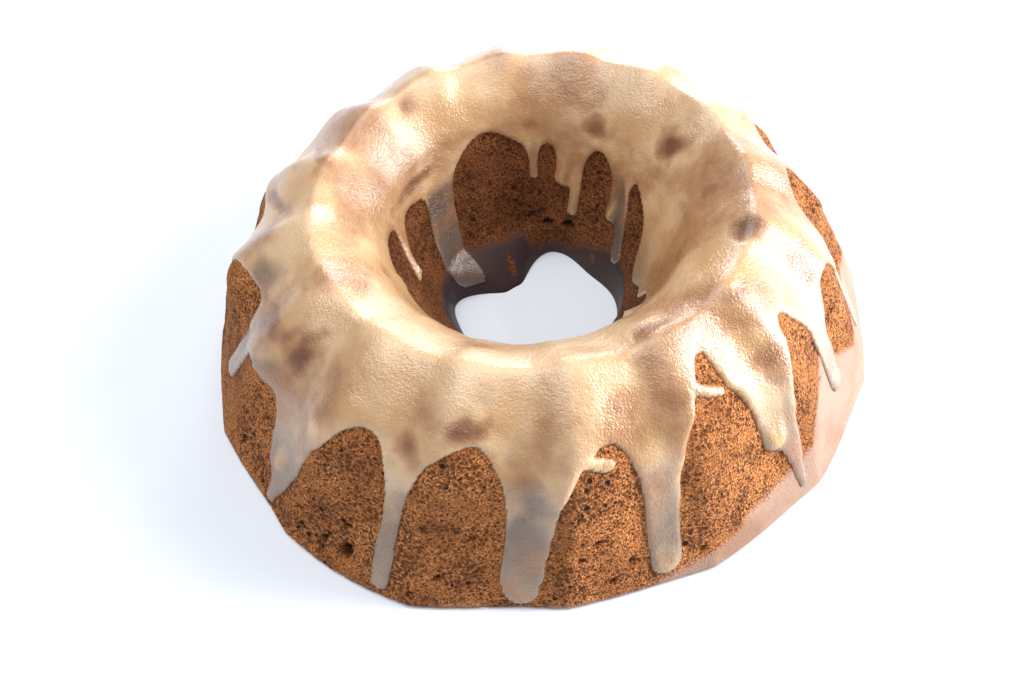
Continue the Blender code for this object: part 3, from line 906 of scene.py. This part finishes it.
def crumb_group():
    """Build the group: a fine grain, dense small pits in two sizes, and sparse pores, which the sponge
    paints dark as painted shade.
    """
    tree = bpy.data.node_groups.new("crumb grain", "ShaderNodeTree")
    tree.interface.new_socket("Vector", in_out="INPUT", socket_type="NodeSocketVector")
    for name in ("Grain", "Pits", "Pores"):
        tree.interface.new_socket(name, in_out="OUTPUT", socket_type="NodeSocketFloat")
    start = tree.nodes.new("NodeGroupInput")
    end = tree.nodes.new("NodeGroupOutput")
    place = start.outputs["Vector"]
    grain = add(tree, "ShaderNodeTexNoise", Vector=place, Scale=GRAIN_SCALE, Detail=2.0)
    many = add(tree, "ShaderNodeTexNoise", Vector=place, Scale=90.0, Detail=3.0)
    dense = span(tree, many.outputs["Fac"], 0.35, 0.65, 0.24, 0.46)
    pits = []
    for scale in PIT_SCALES:
        cells = add(tree, "ShaderNodeTexVoronoi", {"feature": "F1"}, Vector=place, Scale=scale)
        pits.append(span(tree, maths(tree, "SUBTRACT", cells.outputs["Distance"], dense), 0.10, -0.12))
    wide = add(tree, "ShaderNodeTexVoronoi", {"feature": "F1"}, Vector=place, Scale=PORE_SCALE)
    size = span(tree, many.outputs["Fac"], 0.45, 0.75, 0.05, 0.24)
    pore = span(tree, maths(tree, "SUBTRACT", wide.outputs["Distance"], size), 0.05, -0.03)
    finer = maths(tree, "MULTIPLY", pits[1], 0.6)
    tree.links.new(span(tree, grain.outputs["Fac"], 0.3, 0.7), end.inputs["Grain"])
    tree.links.new(maths(tree, "MAXIMUM", pits[0], finer), end.inputs["Pits"])
    tree.links.new(pore, end.inputs["Pores"])
    return tree


crumb = crumb_group()
print("crumb grain group has", len(crumb.nodes), "nodes")

# %% [markdown]
# The sponge's material goes from lit walls to darker pits, and is darkest in pores and
# carved holes: painted highlights on the walls and painted shade in the hollows, with
# more painted shade down into the hole. It turns to a smooth crust at the foot, pale
# with tan clouds, and to a dark one at the foot of the hole. The masks for these come
# from the mesh's attributes, so that the colours sit exactly on the relief.

# %% The sponge's material
# Crumb grain tone, its light colour partly a painted highlight on the grains
CRUMB_GRAIN_HIGHLIGHT = (0.820, 0.320, 0.103, 1.0)
CRUMB_MID = (0.275, 0.089, 0.025, 1.0)
# Painted shade: the colours of the shaded pits and pores, also used down the hole
CRUMB_SHADED = (0.085, 0.024, 0.007, 1.0)
PORE_SHADE_COLOUR = (0.035, 0.012, 0.005, 1.0)
CRUST_COLOUR = (0.400, 0.270, 0.205, 1.0)
CRUST_TAN = (0.300, 0.165, 0.095, 1.0)
SKIRT_COLOUR = (0.034, 0.024, 0.028, 1.0)
# How dark the painted shade deep in the hole gets
HOLE_PAINTED_SHADE = 0.66


def sponge_material():
    """Mix the crumb's colours by grain, pits, pores and crust, with painted highlights on the grain and
    painted shade in the hollows, and bump it alike.
    """
    material = bpy.data.materials.new("sponge crumb")
    material.use_nodes = True
    tree = material.node_tree
    shader = tree.nodes["Principled BSDF"]
    place = add(tree, "ShaderNodeTexCoord").outputs["Object"]
    grain = add(tree, "ShaderNodeGroup", {"node_tree": crumb}, Vector=place)
    crust = attribute(tree, "crust")
    skirt = attribute(tree, "skirt")
    pit_shade = attribute(tree, "pit_shade")
    baked = maths(tree, "MAXIMUM", crust, skirt)
    open_crumb = maths(tree, "SUBTRACT", 1.0, maths(tree, "MULTIPLY", baked, 0.85))
    drift = add(tree, "ShaderNodeTexNoise", Vector=place, Scale=60.0, Detail=3.0)
    # Grain tone, the lighter specks partly painted highlights on the bubble walls
    colour = mix(tree, grain.outputs["Grain"], CRUMB_MID, CRUMB_GRAIN_HIGHLIGHT)
    colour = mix(tree, span(tree, drift.outputs["Fac"], 0.35, 0.7, 0.0, 0.5), colour, CRUMB_MID)
    pits = maths(tree, "MULTIPLY", grain.outputs["Pits"], open_crumb)
    # Painted shade in the small pits
    colour = mix(tree, maths(tree, "MULTIPLY", pits, 0.80), colour, CRUMB_SHADED)
    pores = maths(tree, "MULTIPLY", grain.outputs["Pores"], open_crumb)
    # Painted shade in the pores
    colour = mix(tree, pores, colour, PORE_SHADE_COLOUR)
    # Painted shade: the crumb darkens down into the hole
    painted_shade = span(tree, attribute(tree, "hole"), 0.0, 1.0, 0.0, HOLE_PAINTED_SHADE)
    colour = mix(tree, painted_shade, colour, CRUMB_SHADED)
    tanned = span(tree, drift.outputs["Fac"], 0.45, 0.70, 0.0, 0.7)
    crust_colour = mix(tree, tanned, CRUST_COLOUR, CRUST_TAN)
    colour = mix(tree, maths(tree, "MULTIPLY", crust, 0.85), colour, crust_colour)
    colour = mix(tree, maths(tree, "MULTIPLY", skirt, 0.90), colour, SKIRT_COLOUR)
    # Painted shade in the carved hollows
    colour = mix(tree, maths(tree, "MULTIPLY", pit_shade, 0.85), colour, PORE_SHADE_COLOUR)
    tree.links.new(colour, shader.inputs["Base Color"])
    tree.links.new(span(tree, baked, 0.0, 1.0, 0.88, 0.50), shader.inputs["Roughness"])
    shader.inputs["Specular IOR Level"].default_value = 0.2
    sunk = maths(tree, "ADD", pits, maths(tree, "MULTIPLY", pores, 1.5))
    height = maths(tree, "SUBTRACT", maths(tree, "MULTIPLY", grain.outputs["Grain"], 0.6), sunk)
    height = maths(tree, "MULTIPLY", height, open_crumb)
    bump = add(tree, "ShaderNodeBump", Height=height, Strength=1.0, Distance=0.0007)
    tree.links.new(bump.outputs["Normal"], shader.inputs["Normal"])
    return material


sponge.data.materials.append(sponge_material())
print("sponge material:", sponge.data.materials[0].name)

# %% [markdown]
# The icing is cloudy sugar: pale where it is thick, yellower in the drips, brown where
# it lies thinly over a ridge, and grey where it ran down as a clear film, a grey that is
# partly a painted reflection of the sky. Light goes a little way into it, which the
# shader's subsurface does. A real film would be see-through glass over crumb, but a colour
# for each depth is quicker and free of noise. The wet skin is the shader's coat, with bumps
# of its own that break the highlights into small sparks.

# %% The icing's material
ICING_MID = (0.600, 0.345, 0.155, 1.0)
ICING_PALE = (0.725, 0.485, 0.275, 1.0)
ICING_LOBE = (0.640, 0.385, 0.145, 1.0)
ICING_AMBER = (0.400, 0.185, 0.078, 1.0)
ICING_THIN = (0.150, 0.050, 0.018, 1.0)
# Film grey: the crumb showing through, and partly a painted reflection of the sky
ICING_FILM_SHEEN = (0.088, 0.058, 0.051, 1.0)


def icing_material():
    """Mix the icing's colours by thinness, film and drip, and ripple its skin."""
    material = bpy.data.materials.new("cloudy icing")
    material.use_nodes = True
    tree = material.node_tree
    shader = tree.nodes["Principled BSDF"]
    place = add(tree, "ShaderNodeTexCoord").outputs["Object"]
    thin = attribute(tree, "thin")
    film = attribute(tree, "film")
    lobe = attribute(tree, "lobe")
    grain = add(tree, "ShaderNodeGroup", {"node_tree": crumb}, Vector=place)
    slow = add(tree, "ShaderNodeTexNoise", Vector=place, Scale=55.0, Detail=4.0)
    cloud = add(tree, "ShaderNodeTexNoise", Vector=place, Scale=240.0, Detail=4.0)
    speckle = maths(tree, "MULTIPLY", maths(tree, "SUBTRACT", cloud.outputs["Fac"], 0.5), 0.5)
    haze = maths(tree, "MULTIPLY", speckle, 0.4)
    colour = mix(tree, span(tree, slow.outputs["Fac"], 0.35, 0.65), ICING_MID, ICING_PALE)
    colour = mix(tree, span(tree, lobe, 0.1, 0.8), colour, ICING_LOBE)
    clear = maths(tree, "ADD", film, haze)
    worn = maths(tree, "ADD", thin, speckle)
    # Film grey, partly a painted reflection of the sky
    colour = mix(tree, span(tree, clear, 0.0, 0.95, 0.0, 0.90), colour, ICING_FILM_SHEEN)
    colour = mix(tree, span(tree, worn, 0.05, 0.60, 0.0, 0.85), colour, ICING_AMBER)
    colour = mix(tree, span(tree, worn, 0.45, 1.05, 0.0, 0.90), colour, ICING_THIN)
    tree.links.new(colour, shader.inputs["Base Color"])
    shader.inputs["Roughness"].default_value = 0.25
    shader.inputs["Specular IOR Level"].default_value = 0.8
    shader.inputs["Subsurface Weight"].default_value = 0.06
    shader.inputs["Subsurface Radius"].default_value = (1.0, 0.6, 0.35)
    shader.inputs["Subsurface Scale"].default_value = 0.0012
    shader.inputs["Coat Weight"].default_value = 0.40
    shader.inputs["Coat Roughness"].default_value = 0.10
    ripple = add(tree, "ShaderNodeTexNoise", Vector=place, Scale=900.0, Detail=3.0)
    waves = add(tree, "ShaderNodeTexNoise", Vector=place, Scale=260.0, Detail=2.0)
    rippled = maths(tree, "MULTIPLY", ripple.outputs["Fac"], 0.45)
    height = maths(tree, "ADD", rippled, maths(tree, "MULTIPLY", waves.outputs["Fac"], 0.8))
    height = maths(tree, "ADD", height, maths(tree, "MULTIPLY", grain.outputs["Grain"], 0.20))
    height = maths(tree, "SUBTRACT", height, maths(tree, "MULTIPLY", grain.outputs["Pits"], 0.08))
    bump = add(tree, "ShaderNodeBump", Height=height, Strength=0.6, Distance=0.0006)
    tree.links.new(bump.outputs["Normal"], shader.inputs["Normal"])
    sparks = add(tree, "ShaderNodeTexNoise", Vector=place, Scale=750.0, Detail=4.0)
    facets = add(tree, "ShaderNodeBump", Height=sparks.outputs["Fac"], Strength=0.9, Distance=0.0007)
    tree.links.new(facets.outputs["Normal"], shader.inputs["Coat Normal"])
    return material


glaze.data.materials.append(icing_material())
print("icing material:", glaze.data.materials[0].name)

# %% [markdown]
# ## Floor and light
#
# The cake stands on a plain pale floor in cool daylight that comes mostly from the
# right. Two area lights do that window: a high one for the gloss on the crest, and a
# low one that reaches the wall under the icing. A wide one overhead and one behind
# soften the shadows, and the world fills in from all round.

# %% Floor and light
FLOOR_SIZE = 6.0
FLOOR_COLOUR = (0.80, 0.84, 0.90, 1.0)
LIT_PLACE = Vector((0, 0, 0.04))


def make_floor():
    """Lay a large plain square under the cake."""
    half = FLOOR_SIZE / 2
    mesh = bpy.data.meshes.new("floor")
    corners = [(-half, -half, 0), (half, -half, 0), (half, half, 0), (-half, half, 0)]
    mesh.from_pydata(corners, [], [(0, 1, 2, 3)])
    floor = bpy.data.objects.new("floor", mesh)
    bpy.context.scene.collection.objects.link(floor)
    material = bpy.data.materials.new("pale floor")
    material.use_nodes = True
    shader = material.node_tree.nodes["Principled BSDF"]
    shader.inputs["Base Color"].default_value = FLOOR_COLOUR
    shader.inputs["Roughness"].default_value = 0.55
    mesh.materials.append(material)
    return floor


def area_light(name, place, size, power, colour):
    """Hang a square light at a place, facing the middle of the cake: metres and watts."""
    data = bpy.data.lights.new(name, "AREA")
    data.size = size
    data.energy = power
    data.color = colour
    light = bpy.data.objects.new(name, data)
    light.location = place
    light.rotation_euler = (LIT_PLACE - Vector(place)).to_track_quat("-Z", "Y").to_euler()
    bpy.context.scene.collection.objects.link(light)


make_floor()
area_light("window", (1.05, 0.05, 0.68), 0.45, 14.0, (0.97, 0.98, 1.0))
area_light("low window", (1.25, -0.12, 0.15), 0.35, 20.0, (0.99, 0.99, 1.0))
area_light("ceiling", (-0.30, 0.00, 1.45), 1.3, 20.0, (0.99, 0.99, 1.0))
area_light("back window", (0.20, 1.20, 0.45), 0.6, 9.0, (0.90, 0.95, 1.0))
world = bpy.data.worlds.new("soft surround")
world.use_nodes = True
background = world.node_tree.nodes["Background"]
background.inputs["Color"].default_value = (0.82, 0.90, 1.0, 1.0)
background.inputs["Strength"].default_value = 0.30
bpy.context.scene.world = world
bpy.context.scene.view_settings.view_transform = "Standard"
